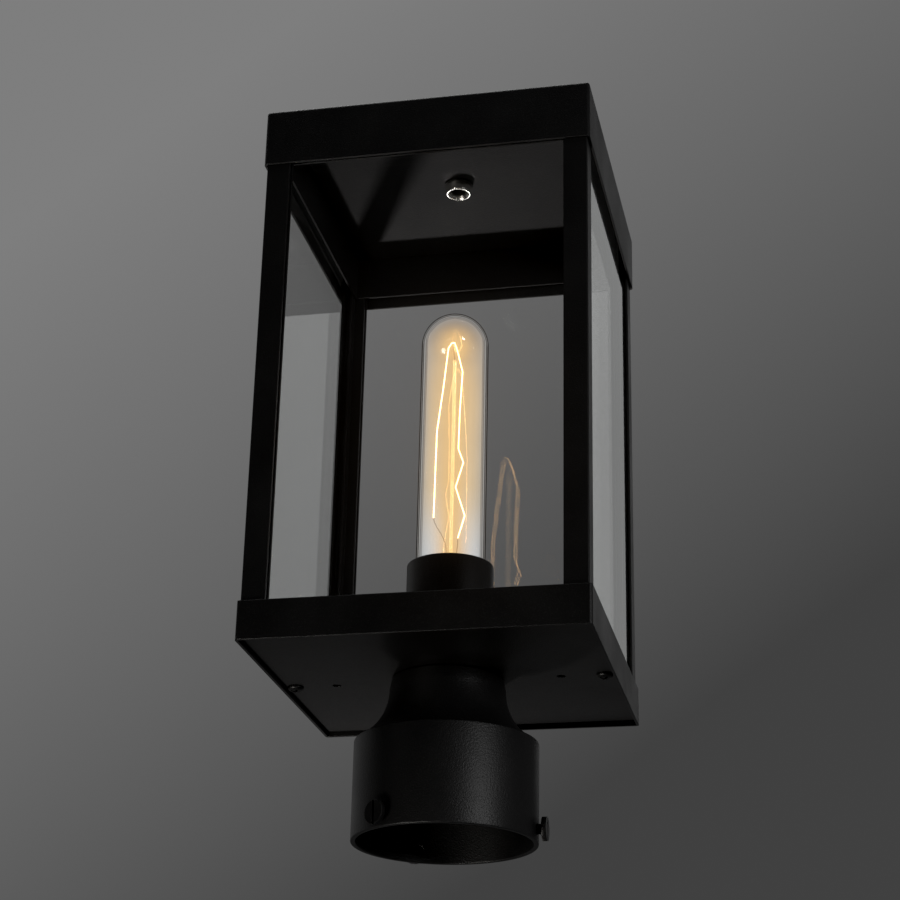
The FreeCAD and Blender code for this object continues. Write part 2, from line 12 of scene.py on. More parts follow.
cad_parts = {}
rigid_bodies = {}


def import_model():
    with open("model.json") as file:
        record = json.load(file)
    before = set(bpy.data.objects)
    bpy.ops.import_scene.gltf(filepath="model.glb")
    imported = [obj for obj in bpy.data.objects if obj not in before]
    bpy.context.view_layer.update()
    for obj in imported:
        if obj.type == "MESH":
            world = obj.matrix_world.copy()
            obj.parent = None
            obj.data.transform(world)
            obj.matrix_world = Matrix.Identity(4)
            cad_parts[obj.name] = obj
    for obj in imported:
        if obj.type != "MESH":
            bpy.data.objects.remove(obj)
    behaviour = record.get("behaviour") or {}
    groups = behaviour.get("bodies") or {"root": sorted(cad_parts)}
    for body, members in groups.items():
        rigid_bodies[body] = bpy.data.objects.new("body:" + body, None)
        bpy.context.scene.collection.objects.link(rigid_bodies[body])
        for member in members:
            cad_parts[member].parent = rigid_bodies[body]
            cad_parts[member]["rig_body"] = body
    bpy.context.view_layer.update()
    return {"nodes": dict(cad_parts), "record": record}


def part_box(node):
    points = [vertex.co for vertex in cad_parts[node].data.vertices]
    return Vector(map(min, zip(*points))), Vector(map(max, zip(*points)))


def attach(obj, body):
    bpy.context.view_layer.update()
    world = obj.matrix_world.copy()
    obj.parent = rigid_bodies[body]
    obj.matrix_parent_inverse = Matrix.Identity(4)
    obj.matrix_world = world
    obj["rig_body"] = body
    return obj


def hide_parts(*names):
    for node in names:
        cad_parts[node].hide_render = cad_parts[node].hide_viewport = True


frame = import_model()
nodes = frame["nodes"]
MM = 0.001
merge_reach = 0.002


# ---- mesh helpers -------------------------------------------------------------------
def span(node):
    """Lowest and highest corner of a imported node."""
    low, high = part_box(node)
    return low / MM, high / MM


def pick(piece):
    """Makes one piece the only one selected."""
    bpy.ops.object.select_all(action="DESELECT")
    piece.select_set(True)
    bpy.context.view_layer.objects.active = piece


def named(name):
    """The object just added, under its own name."""
    piece = bpy.context.object
    piece.name = name
    piece.data.name = name
    return piece


def settle(piece, smooth_below=35.0):
    """Puts a piece's place into its mesh and smooths its gentle edges."""
    pick(piece)
    bpy.ops.object.transform_apply(location=True, rotation=True, scale=True)
    bpy.ops.object.shade_smooth_by_angle(angle=math.radians(smooth_below))
    return piece


def turned(name, outline, steps, at=(0.0, 0.0), fill=True):
    """Piece of revolution: one ring, drawn out and scaled from each (radius, height) to the next."""
    x, y = at[0] * MM, at[1] * MM
    radius, height = outline[0]
    bpy.ops.object.select_all(action="DESELECT")
    bpy.ops.mesh.primitive_circle_add(vertices=steps, radius=radius * MM, fill_type="NOTHING",
                                      location=(x, y, height * MM))
    piece = named(name)
    bpy.ops.object.mode_set(mode="EDIT")
    bpy.ops.mesh.select_mode(type="VERT")
    bpy.ops.mesh.select_all(action="SELECT")
    for next_radius, next_height in outline[1:]:
        rise = (0, 0, (next_height - height) * MM)
        bpy.ops.mesh.extrude_region_move(TRANSFORM_OT_translate={"value": rise})
        share = next_radius / radius
        bpy.ops.transform.resize(value=(share, share, 1),
                                 center_override=(x, y, next_height * MM))
        radius, height = next_radius, next_height
    bpy.ops.mesh.select_all(action="SELECT")
    bpy.ops.mesh.remove_doubles(threshold=merge_reach * MM)
    if fill:
        bpy.ops.mesh.fill_holes(sides=0)
    bpy.ops.mesh.select_all(action="SELECT")
    bpy.ops.mesh.normals_make_consistent(inside=False)
    bpy.ops.object.mode_set(mode="OBJECT")
    return settle(piece)


def arc(centre, radius, start, end, count):
    """Outline points of an arc, with angles in degrees from outwards to upwards."""
    middle_r, middle_z = centre
    angles = [math.radians(start + (end - start) * n / count) for n in range(count + 1)]
    return [(middle_r + radius * math.cos(a), middle_z + radius * math.sin(a)) for a in angles]


# Pitches of the lamp's thread, of the stem tube's and of every other thread.
lamp_pitch, stem_pitch, fine_pitch = 3.6, 0.9, 0.8


def thread(crest, root, low, high, pitch):
    """Outline points of a screw thread between two heights, as a row of ridges."""
    ridge_start, ridge_end = 0.42, 0.58
    count = max(1, round(abs(high - low) / pitch))
    step = (high - low) / count
    points = []
    for n in range(count):
        foot = low + n * step
        points += [(root, foot), (crest, foot + step * ridge_start),
                   (crest, foot + step * ridge_end)]
    return points + [(root, high)]


def bar(name, size, at, turn=(0.0, 0.0, 0.0)):
    """Straight cutter or blank of a given size, centred on a place."""
    bpy.ops.object.select_all(action="DESELECT")
    bpy.ops.mesh.primitive_cube_add(size=1.0, location=[v * MM for v in at])
    piece = named(name)
    piece.scale = [v * MM for v in size]
    piece.rotation_euler = [math.radians(v) for v in turn]
    pick(piece)
    bpy.ops.object.transform_apply(location=True, rotation=True, scale=True)
    return piece


def cut(piece, tool):
    """Takes a tool's shape out of a piece."""
    pick(piece)
    knife = piece.modifiers.new("cut", "BOOLEAN")
    knife.object = tool
    knife.solver = "EXACT"
    bpy.ops.object.modifier_apply(modifier=knife.name)
    bpy.data.objects.remove(tool)
    return piece


def joined(name, pieces):
    """Several meshes as one piece."""
    pick(pieces[0])
    for other in pieces[1:]:
        other.select_set(True)
    bpy.ops.object.join()
    return settle(named(name))


def spun_copy(piece, name, angle):
    """Copy of a piece with its own mesh, turned about the lantern's axis."""
    pick(piece)
    bpy.ops.object.duplicate()
    copy = named(name)
    copy.rotation_euler.z = math.radians(angle)
    return settle(copy)


def laid_along_x(piece, height):
    """Turns a piece made along +Z to lie along +X at a height."""
    piece.rotation_euler.y = math.pi / 2
    piece.location.z = height * MM
    return settle(piece)


def wire(name, points, radius, kinked=False):
    """Round wire through its points, bent smoothly or with a kink at each."""
    bpy.ops.object.select_all(action="DESELECT")
    bpy.ops.curve.primitive_bezier_curve_add()
    piece = named(name)
    piece.location = (0, 0, 0)
    spline = piece.data.splines[0]
    spline.bezier_points.add(len(points) - 2)
    for knot, place in zip(spline.bezier_points, points):
        knot.co = Vector(place) * MM
        knot.handle_left_type = "VECTOR" if kinked else "AUTO"
        knot.handle_right_type = "VECTOR" if kinked else "AUTO"
    piece.data.bevel_depth = radius * MM
    piece.data.bevel_resolution = 3
    piece.data.resolution_u = 4 if kinked else 12
    piece.data.use_fill_caps = True
    bpy.ops.object.convert(target="MESH")
    bpy.ops.object.mode_set(mode="EDIT")
    bpy.ops.mesh.select_mode(type="VERT")
    bpy.ops.mesh.select_all(action="SELECT")
    bpy.ops.mesh.remove_doubles(threshold=merge_reach * MM)
    bpy.ops.mesh.normals_make_consistent(inside=False)
    bpy.ops.object.mode_set(mode="OBJECT")
    return settle(piece)


def stands_for(piece, body, slot, *replaced):
    """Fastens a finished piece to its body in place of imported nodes."""
    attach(piece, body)
    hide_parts(*replaced)
    piece.data.materials.clear()
    piece.data.materials.append(finishes[slot])
    return piece


# ---- finishes -----------------------------------------------------------------------
class Value:
    """A shader number, so that maths on sockets reads as plain expressions."""

    def __init__(self, finish, socket):
        self.finish = finish
        self.socket = socket

    def maths(self, operation, first, second):
        """The value that one Math node gives."""
        node = self.finish.node("ShaderNodeMath", {"operation": operation},
                                {0: first, 1: second})
        return Value(self.finish, node.outputs[0])

    def __add__(self, other):
        return self.maths("ADD", self, other)

    def __radd__(self, other):
        return self.maths("ADD", other, self)

    def __sub__(self, other):
        return self.maths("SUBTRACT", self, other)

    def __rsub__(self, other):
        return self.maths("SUBTRACT", other, self)

    def __mul__(self, other):
        return self.maths("MULTIPLY", self, other)

    def __rmul__(self, other):
        return self.maths("MULTIPLY", other, self)

    def __pow__(self, other):
        return self.maths("POWER", self, other)

    def over(self, edge):
        """1 above an edge, and 0 below it."""
        return self.maths("GREATER_THAN", self, edge)

    def at_least(self, floor):
        """The value, or the floor where it is lower."""
        return self.maths("MAXIMUM", self, floor)

    def near(self, middle, reach):
        """1 within a reach of the middle value, and 0 elsewhere."""
        node = self.finish.node("ShaderNodeMath", {"operation": "COMPARE"},
                                {0: self, 1: middle, 2: reach})
        return Value(self.finish, node.outputs[0])


class Finish:
    """One material and the nodes that make it."""

    def __init__(self, slot):
        self.material = bpy.data.materials.new(slot)
        self.material.use_nodes = True
        self.tree = self.material.node_tree
        self.tree.nodes.clear()
        self.output = self.node("ShaderNodeOutputMaterial")
        self.place = self.node("ShaderNodeTexCoord").outputs["Object"]
        self.shader = self.node("ShaderNodeBsdfPrincipled")
        self.feed(self.output.inputs["Surface"], self.shader.outputs["BSDF"])

    def feed(self, socket, value):
        """Links a socket to what drives it, or sets its number."""
        if isinstance(value, Value):
            value = value.socket
        if isinstance(value, bpy.types.NodeSocket):
            self.tree.links.new(value, socket)
        else:
            socket.default_value = value

    def node(self, kind, settings=None, sockets=None):
        """Any node, with its settings made before its sockets are fed."""
        made = self.tree.nodes.new(kind)
        for name, value in (settings or {}).items():
            if name == "stops":
                band = made.color_ramp.elements
                for end, (position, colour) in ((0, value[0]), (1, value[-1])):
                    band[end].position = position
                    band[end].color = colour
                for position, colour in value[1:-1]:
                    band.new(position).color = colour
            else:
                setattr(made, name, value)
        for name, value in (sockets or {}).items():
            self.feed(made.inputs[name], value)
        return made

    def set(self, **sockets):
        """Feeds the main shader's sockets, named with underscores for spaces."""
        for name, value in sockets.items():
            self.feed(self.shader.inputs[name.replace("_", " ")], value)

    def stretched(self, scale):
        """The piece's coordinates, scaled apart along the three axes."""
        return self.node("ShaderNodeMapping", None,
                         {"Vector": self.place, "Scale": scale}).outputs["Vector"]

    def noise(self, scale, detail, vector=None):
        """Cloudy value round a half, with features about 1 / scale metres wide."""
        fine_share = 0.55
        made = self.node("ShaderNodeTexNoise", None, {
            "Vector": vector or self.place, "Scale": scale, "Detail": detail,
            "Roughness": fine_share})
        return Value(self, made.outputs["Fac"])

    def height(self):
        """Height above the fitter's rim, in metres."""
        return Value(self, self.node("ShaderNodeSeparateXYZ", None,
                                     {"Vector": self.place}).outputs["Z"])

    def facing(self):
        """0 where a surface faces the eye, 1 where it is seen edge on."""
        return Value(self, self.node("ShaderNodeLayerWeight", None,
                                     {"Blend": 0.5}).outputs["Facing"])

    def ramp(self, value, *stops):
        """Colour that follows a value through stops of (value, colour)."""
        made = self.node("ShaderNodeValToRGB", {"stops": [(at, (*c, 1.0)) for at, c in stops]},
                         {"Fac": value})
        return made.outputs["Color"]

    def mixed(self, factor, first, second):
        """Colour between two colours."""
        made = self.node("ShaderNodeMix", {"data_type": "RGBA"},
                         {0: factor, 6: first, 7: second})
        return made.outputs[2]

    def relief(self, height, strength, depth, edge_radius):
        """Surface normal with fine relief, over edges that shade as if rounded."""
        edge = self.node("ShaderNodeBevel", {"samples": 4}, {"Radius": edge_radius * MM})
        made = self.node("ShaderNodeBump", None, {
            "Strength": strength, "Distance": depth * MM, "Height": height,
            "Normal": edge.outputs["Normal"]})
        return made.outputs["Normal"]


def black_coat():
    """Satin black powder coat: fine orange peel, dull clouds and a little dust."""
    finish = Finish("black_coat")
    grain = finish.noise(1500.0, 1.0)
    cloud = finish.noise(28.0, 5.0)
    dust = finish.noise(2600.0, 1.0).over(0.69) * cloud
    speck = finish.noise(1900.0, 2.0).over(0.60)
    grey = dust * 0.5 + cloud * 0.25 + speck * 0.35
    finish.set(Base_Color=finish.mixed(grey, (0.0070, 0.0070, 0.0074, 1),
                                       (0.030, 0.029, 0.028, 1)),
               Roughness=0.30 + cloud * 0.26, Specular_IOR_Level=0.34,
               Normal=finish.relief(grain, strength=0.60, depth=0.20, edge_radius=0.7))
    return finish.material


def black_steel():
    """Black oxide on small steel pieces, thinner in rubbed patches."""
    finish = Finish("black_steel")
    cloud = finish.noise(240.0, 4.0)
    rubbed = finish.noise(900.0, 2.0).over(0.62)
    finish.set(Base_Color=finish.mixed(rubbed * 0.4, (0.008, 0.008, 0.008, 1),
                                       (0.038, 0.034, 0.030, 1)),
               Metallic=0.05 + rubbed * 0.25, Roughness=0.30 + cloud * 0.22,
               Specular_IOR_Level=0.36,
               Normal=finish.relief(cloud, strength=0.2, depth=0.08, edge_radius=0.25))
    return finish.material


def plain_metal(slot, bright, dull, roughness):
    """Metal with brushed and cloudy places between two tones."""
    finish = Finish(slot)
    cloud_scale, brushed_scale, along_brush = 320.0, 1500.0, 0.06
    cloud = finish.noise(cloud_scale, 4.0)
    brushed = finish.noise(brushed_scale, 3.0, vector=finish.stretched((1.0, 1.0, along_brush)))
    finish.set(Base_Color=finish.mixed(cloud, (*dull, 1), (*bright, 1)), Metallic=1.0,
               Roughness=roughness + brushed * 0.14 - 0.05,
               Normal=finish.relief(brushed + cloud, strength=0.12, depth=0.05,
                                    edge_radius=0.25))
    return finish.material


def rubber():
    """Matt black rubber with a fine grain."""
    finish = Finish("black_rubber")
    grain = finish.noise(1400.0, 3.0)
    finish.set(Base_Color=finish.mixed(grain, (0.012, 0.012, 0.012, 1), (0.030, 0.030, 0.029, 1)),
               Roughness=0.72 + grain * 0.15,
               Normal=finish.relief(grain, strength=0.3, depth=0.1, edge_radius=0.3))
    return finish.material


def ceramic():
    """Glazed white porcelain with faint specks."""
    finish = Finish("white_ceramic")
    cloud = finish.noise(60.0, 4.0)
    speck = finish.noise(1900.0, 1.0).over(0.71)
    finish.set(Base_Color=finish.mixed(speck * 0.6 + cloud * 0.2, (0.80, 0.78, 0.72, 1),
                                       (0.50, 0.45, 0.38, 1)),
               Roughness=0.16 + cloud * 0.12, Coat_Weight=0.4,
               Normal=finish.relief(cloud, strength=0.15, depth=0.3, edge_radius=0.5))
    return finish.material


def black_glass():
    """Black vitrified glass between the lamp's cap and its contact."""
    finish = Finish("black_glass")
    cloud = finish.noise(200.0, 3.0)
    finish.set(Base_Color=finish.mixed(cloud, (0.006, 0.006, 0.007, 1), (0.020, 0.017, 0.022, 1)),
               Roughness=0.08 + cloud * 0.08,
               Normal=finish.relief(cloud, strength=0.2, depth=0.1, edge_radius=0.3))
    return finish.material


def pane_glass():
    """Clear float glass: almost unseen face on, a mirror edge on, with a faint film of dust."""
    finish = Finish("clear_glass")
    film = finish.noise(22.0, 5.0)
    mirror = 0.026 + 0.90 * finish.facing() ** 5.0
    finish.set(Base_Color=(0.93, 0.96, 0.945, 1.0), Metallic=1.0,
               Roughness=0.015 + film * 0.05, Alpha=mirror + film * 0.012)
    return finish.material


def lamp_glass():
    """Lamp glass with a painted glow: amber in the middle, clear at its sides, with painted dark
    outlines.
    """
    finish = Finish("amber_glass")
    # The glow is emission painted into the glass in place of the strands' light scattered in it. Its
    # colour follows the height: bluish white low down, amber in the middle and dark brown at the
    # dome.
    glow_foot, glow_length = 0.115, 0.14
    level = (finish.height() - glow_foot) * (1.0 / glow_length)
    swirl = finish.noise(55.0, 2.0, vector=finish.stretched((1.0, 1.0, 0.5)))
    edge_on = finish.facing()
    # Painted glow: amber where the glass faces the eye, a hot orange centre, and pale grey where the
    # glass is seen edge on.
    lit = (1.0 - (edge_on * 1.5) ** 3.0).at_least(0.0)
    painted_hot_centre = (1.0 - edge_on) ** 8.0
    painted_glow_by_height = finish.ramp(level, (0.10, (0.88, 0.94, 1.0)), (0.19, (0.98, 0.95, 0.90)),
                       (0.34, (1.0, 0.77, 0.48)), (0.70, (1.0, 0.71, 0.38)),
                       (0.84, (0.88, 0.65, 0.40)), (0.95, (0.36, 0.28, 0.20)))
    sides = finish.mixed(lit, (0.80, 0.79, 0.76, 1), painted_glow_by_height)
    finish.set(Base_Color=(0.34, 0.31, 0.27, 1.0), Metallic=1.0, Roughness=0.03,
               Emission_Color=finish.mixed(painted_hot_centre * 1.5, sides, (1.0, 0.60, 0.20, 1)),
               Emission_Strength=1.35,
               Alpha=0.02 + lit * (0.09 + swirl * 0.06) + painted_hot_centre * 0.10 + 0.22 * edge_on ** 6.0)
    # Painted dark outline where the glass is seen edge on, and a faint painted dark line a little
    # inside it, standing in for the shade at the tube's edges.
    rim = finish.node("ShaderNodeBsdfPrincipled", None, {
        "Base Color": (0.05, 0.03, 0.015, 1.0), "Roughness": 0.7, "Specular IOR Level": 0.0,
        "Alpha": 0.85})
    outline_from, line_at, line_reach = 0.77, 0.56, 0.025
    painted_outline_shade = edge_on.over(outline_from) * 0.95 + edge_on.near(line_at, line_reach) * 0.35
    outline = finish.node("ShaderNodeMixShader", None, {
        0: painted_outline_shade, 1: finish.shader.outputs["BSDF"], 2: rim.outputs["BSDF"]})
    finish.feed(finish.output.inputs["Surface"], outline.outputs[0])
    return finish.material


def stem_glass():
    """Clear glass of the lamp's stem, with a faint glow from the strands painted into it."""
    finish = Finish("stem_glass")
    ripple_and_glow_tone = finish.noise(300.0, 2.0)
    # The emission is painted glow standing in for the strands' light in the stem, and the ripple
    # noise varies both its tone and the glass's clearness.
    finish.set(Base_Color=(1.0, 0.93, 0.82, 1.0), Metallic=1.0, Roughness=0.05,
               Emission_Color=finish.mixed(ripple_and_glow_tone, (1.0, 0.52, 0.16, 1), (1.0, 0.76, 0.44, 1)),
               Emission_Strength=1.2,
               Alpha=0.25 + ripple_and_glow_tone * 0.2 + 0.4 * finish.facing() ** 3.0)
    return finish.material


def hot_filament():
    """White hot strand, a little cooler in places."""
    finish = Finish("hot_filament")
    flicker = finish.noise(400.0, 2.0)
    finish.set(Base_Color=(0.3, 0.2, 0.1, 1.0), Roughness=0.5,
               Emission_Color=finish.mixed(flicker, (1.0, 0.50, 0.17, 1), (1.0, 0.64, 0.30, 1)),
               Emission_Strength=9.0)
    return finish.material


finishes = {
    "black_coat": black_coat(),
    "black_steel": black_steel(),
    "black_rubber": rubber(),
    "clear_glass": pane_glass(),
    "nickel_plate": plain_metal("nickel_plate", (0.90, 0.88, 0.83), (0.74, 0.71, 0.66), 0.22),
    "dark_zinc": plain_metal("dark_zinc", (0.20, 0.19, 0.17), (0.08, 0.075, 0.07), 0.38),
    "zinc_steel": plain_metal("zinc_steel", (0.64, 0.65, 0.66), (0.42, 0.42, 0.41), 0.30),
    "green_steel": plain_metal("green_steel", (0.06, 0.27, 0.10), (0.03, 0.16, 0.06), 0.34),
    "brass": plain_metal("brass", (0.80, 0.58, 0.25), (0.52, 0.36, 0.15), 0.24),
    "lamp_brass": plain_metal("lamp_brass", (0.74, 0.60, 0.34), (0.50, 0.38, 0.20), 0.28),
    "tin_solder": plain_metal("tin_solder", (0.62, 0.61, 0.58), (0.36, 0.35, 0.33), 0.40),
    "wire_nickel": plain_metal("wire_nickel", (0.80, 0.66, 0.48), (0.55, 0.42, 0.28), 0.30),
    "white_ceramic": ceramic(),
    "black_glass": black_glass(),
    "amber_glass": lamp_glass(),
    "stem_glass": stem_glass(),
    "hot_filament": hot_filament(),
}

for part in frame["record"]["subparts"]:
    slots = nodes[part["node"]].data.materials
    slots.clear()
    slots.append(finishes[part["material_slot"]])


# ---- post fitter --------------------------------------------------------------------
def post_fitter():
    """Cast collar and flared neck, with a hollow that follows the flare."""
    plate_z = span("bottom_plate")[0].z
    radius = span("post_fitter")[1].x
    post_bore, post_stop, collar_height = 38.6, 40.0, 44.0
    stop_width, lip, neck_edge = 2.0, 0.5, 0.5
    neck, neck_growth, neck_length = 25.0, 0.9, 5.0
    flare_wall, web, stem_hole = 3.2, 3.5, 5.25
    waist = neck + neck_growth
    waist_z = plate_z - neck_length
    drop = waist_z - collar_height
    spread = radius - waist
    flare = (spread * spread + drop * drop) / (2 * spread)
    centre = waist + flare, waist_z
    outer_end = math.degrees(math.acos((centre[0] - radius) / flare))
    stop_r = post_bore - stop_width
    inner = flare + flare_wall
    inner_end = math.degrees(math.acos((centre[0] - stop_r) / inner))
    outline = arc((post_bore + lip, lip), lip, 180, 270, 3)
    outline += arc((radius - lip, lip), lip, -90, 0, 4)
    outline += arc((radius - lip, collar_height - lip * 0.4), lip, 0, 42, 3)
    outline += arc(centre, flare, 180 + outer_end * 0.985, 180, 28)
    outline += [(neck, plate_z - neck_edge), (neck - neck_edge, plate_z),
                (stem_hole, plate_z)]
    outline += [(stem_hole, plate_z - web), (centre[0] - inner, plate_z - web)]
    outline += arc(centre, inner, 180, 180 + inner_end, 16)
    outline += [(stop_r, post_stop), (post_bore, post_stop), outline[0]]
    fitter = turned("cast_fitter", outline, steps=180)
    screw_z = sum(corner.z for corner in span("thumb_screw_right")) / 2
    drill_radius, drill_length, wall_middle = 2.45, 8.0, 40.0
    for name, angle in thumb_angles.items():
        bpy.ops.object.select_all(action="DESELECT")
        bpy.ops.mesh.primitive_cylinder_add(vertices=40, radius=drill_radius * MM,
                                            depth=drill_length * MM,
                                            location=(wall_middle * MM, 0, screw_z * MM),
                                            rotation=(0, math.pi / 2, 0))
        drill = named("drill_" + name)
        pick(drill)
        bpy.ops.object.transform_apply(location=True, rotation=True, scale=True)
        drill.rotation_euler.z = math.radians(angle)
        cut(fitter, drill)
    settle(fitter, 28.0)
    stands_for(fitter, "foot", "black_coat", "post_fitter")


def thumb_screw():
    """Knurled and slotted disc head on a short threaded shank, made along +X."""
    low, high = span("thumb_screw_right")
    middle_z = (low.z + high.z) / 2
    head_radius, thickness = (high.z - low.z) / 2, 2.2
    knurl, knurls, slot_width, slot_depth, shank = 0.22, 54, 1.3, 1.1, 2.4
    face_border, edge_width, groove = 0.45, 0.09, 0.28
    bpy.ops.object.select_all(action="DESELECT")
    bpy.ops.mesh.primitive_cylinder_add(vertices=2 * knurls, radius=(head_radius - knurl) * MM,
                                        depth=thickness * MM)
    head = named("screw_head")
    bpy.ops.object.mode_set(mode="EDIT")
    bpy.ops.mesh.select_mode(type="FACE")
    bpy.ops.mesh.select_all(action="DESELECT")
    bpy.ops.object.mode_set(mode="OBJECT")
    for face in head.data.polygons:
        face.select = abs(face.normal.z) > 0.5
    bpy.ops.object.mode_set(mode="EDIT")
    bpy.ops.mesh.inset(thickness=face_border * MM)
    bpy.ops.object.mode_set(mode="OBJECT")
    for face in head.data.polygons:
        side = abs(face.normal.z) < 0.5
        angle = math.atan2(face.center.y, face.center.x) / (2 * math.pi) * 2 * knurls
        face.select = side and math.floor(angle) % 2 == 0
    bpy.ops.object.mode_set(mode="EDIT")
    bpy.ops.mesh.extrude_faces_move(TRANSFORM_OT_shrink_fatten={"value": knurl * MM})
    bpy.ops.object.mode_set(mode="OBJECT")
    edge = head.modifiers.new("edge", "BEVEL")
    edge.width = edge_width * MM
    edge.segments = 2
    edge.angle_limit = math.radians(40)
    pick(head)
    bpy.ops.object.modifier_apply(modifier=edge.name)
    slot = bar("slot", (2 * head_radius + 2, slot_width, slot_depth * 2), (0, 0, thickness / 2))
    cut(head, slot)
    neck_length = high.x - thickness - low.x
    stem_low = -thickness / 2 - neck_length
    outline = [(shank * 0.78, stem_low), (shank, stem_low + 0.5)]
    outline += thread(shank, shank - groove, stem_low + 0.6, -thickness / 2, fine_pitch)
    screw = joined("thumb_screw", [head, turned("shank", outline, steps=40)])
    screw.location.x = 0
    laid_along_x(screw, middle_z)
    screw.location.x = (high.x - thickness / 2) * MM
    return settle(screw, 25.0)


thumb_angles = {"right": 0.0, "back_left": 120.0, "front_left": 240.0}


def thumb_screws():
    """Three copies of the screw, turned to their places round the collar."""
    pattern = thumb_screw()
    for name, angle in thumb_angles.items():
        node = "thumb_screw_" + name
        screw = spun_copy(pattern, "knurled_screw_" + name, angle)
        stands_for(screw, nodes[node]["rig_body"], "black_steel", node)
    bpy.data.objects.remove(pattern)


# ---- screws -------------------------------------------------------------------------
def pan_screw(name, x, y, seat, head, height, shank, end, recess):
    """Domed screw whose head hangs below its seat or stands on it, with a cross recess."""
    sign = 1 if seat > end else -1
    edge = min(0.35, height * 0.3)
    dome_start, dome_steps, slot_share = 15, 6, 0.26
    outline = [(shank * 0.75, end), (shank, end + sign * 0.4)]
    outline += thread(shank, shank * 0.86, end + sign * 0.5, seat, fine_pitch)
    outline += [(head - 0.1, seat), (head, seat + sign * edge)]
    for n in range(dome_steps + 1):
        tilt = math.radians(dome_start + (90 - dome_start) * n / dome_steps)
        outline.append((head * math.cos(tilt) + 0.02,
                        seat + sign * (edge + (height - edge) * math.sin(tilt))))
    screw = turned(name, outline, steps=40, at=(x, y))
    for turn in (35, 125):
        slot = bar("slot", (head * recess, head * slot_share, height * 1.1),
                   (x, y, seat + sign * height), (0, 0, turn))
        cut(screw, slot)
    return settle(screw, 32.0)


def small_screws():
    """Two screws under the plate, and the earth screw in the neck."""
    low, high = span("plate_screws")
    head, height, shank, recess = 3.7, 2.1, 2.0, 1.25
    reach = high.x - head
    pair = [pan_screw("one_screw", side * reach, 0, low.z + height, head, height, shank,
                      high.z, recess) for side in (-1, 1)]
    stands_for(joined("pan_head_screws", pair), "foot", "black_steel", "plate_screws")

    low, high = span("ground_screw")
    middle = (low.x + high.x) / 2
    head, height, shank, recess = 3.2, 2.0, 1.9, 1.3
    earth = pan_screw("earth_screw", middle, 0, low.z + height, head, height, shank,
                      high.z, recess)
    stands_for(earth, "foot", "green_steel", "ground_screw")


# ---- tube, nuts and cap in the roof -------------------------------------------------
def roof_fixing():
    """Ring nut under the ceiling, its hollow tube, and the cap nut on the roof."""
    low, high = span("roof_ring_nut")
    radius = high.x
    bore, edge, groove = 4.85, 1.0, 0.3
    outline = arc((radius - edge, low.z + edge), edge, -90, 0, 6)
    outline += arc((radius - edge * 0.4, high.z - 0.4), 0.4, 0, 90, 3)
    outline += [(bore, high.z)]
    outline += thread(bore, bore - groove, high.z - 0.3, low.z + 0.9, fine_pitch)
    outline += [(bore + 0.5, low.z), outline[0]]
    nut = turned("bright_ring_nut", outline, steps=96)
    stands_for(nut, "cage", "nickel_plate", "roof_ring_nut")

    low, high = span("roof_nipple")
    radius, bore, groove = high.x, 3.5, 0.35
    outline = [(bore, low.z), (radius - 0.5, low.z), (radius, low.z + 0.5)]
    outline += thread(radius, radius - groove, low.z + 0.6, high.z - 0.3, fine_pitch)
    outline += [(radius - 0.4, high.z), (bore, high.z), outline[0]]
    tube = turned("threaded_roof_tube", outline, steps=72)
    stands_for(tube, "cage", "dark_zinc", "roof_nipple")

    low, high = span("roof_cap")
    radius, edge, bore, depth = high.x, 1.6, 4.85, 3.1
    outline = [(bore, low.z), (radius - 0.3, low.z), (radius, low.z + 0.3)]
    outline += arc((radius - edge, high.z - edge), edge, 0, 90, 6)
    outline += [(0.0, high.z)]
    cap = turned("domed_cap", outline, steps=96)
    well = turned("well", [(bore, low.z - 1), (bore, low.z + depth)], steps=72)
    cut(cap, well)
    stands_for(settle(cap), "cage", "black_coat", "roof_cap")


# ---- lampholder ---------------------------------------------------------------------
def lampholder():
    """Cup, threaded shell and the tube that holds them to the plate."""
    low, high = span("socket_cup")
    radius, wall, hole, base_bend = high.x, 1.0, 5.25, 1.5
    inner = radius - wall
    floor = low.z + wall
    outline = [(hole, floor), (hole, low.z)]
    outline += arc((radius - base_bend, low.z + base_bend), base_bend, -90, 0, 5)
    outline += arc((radius - wall / 2, high.z - wall / 2), wall / 2, 0, 180, 6)
    outline += [(inner, floor), outline[0]]
    cup = turned("drawn_cup", outline, steps=144)
    stands_for(cup, "foot", "black_coat", "socket_cup")

    low, high = span("screw_shell")
    rim, wall, shell, groove = high.x, 0.5, 14.0, 0.3
    seat = high.z - wall
    inner_top, inner_foot = shell - wall, shell - wall - 0.02
    outline = [(inner_foot, low.z), (shell, low.z)]
    outline += thread(shell, shell - groove, low.z + 2.0, seat - 2.0, lamp_pitch)
    outline += [(shell, seat), (rim, seat), (rim, high.z), (inner_top, high.z), outline[0]]
    sleeve = turned("threaded_shell", outline, steps=96)
    stands_for(sleeve, "foot", "nickel_plate", "screw_shell")

    low, high = span("stem_nipple")
    radius, bore, groove = high.x, 3.9, 0.35
    outline = [(bore, low.z), (radius - 0.4, low.z)]
    outline += thread(radius, radius - groove, low.z + 0.4, high.z - 0.4, stem_pitch)
    outline += [(radius - 0.4, high.z), (bore, high.z), outline[0]]
    tube = turned("threaded_stem", outline, steps=72)
    stands_for(tube, "foot", "zinc_steel", "stem_nipple")


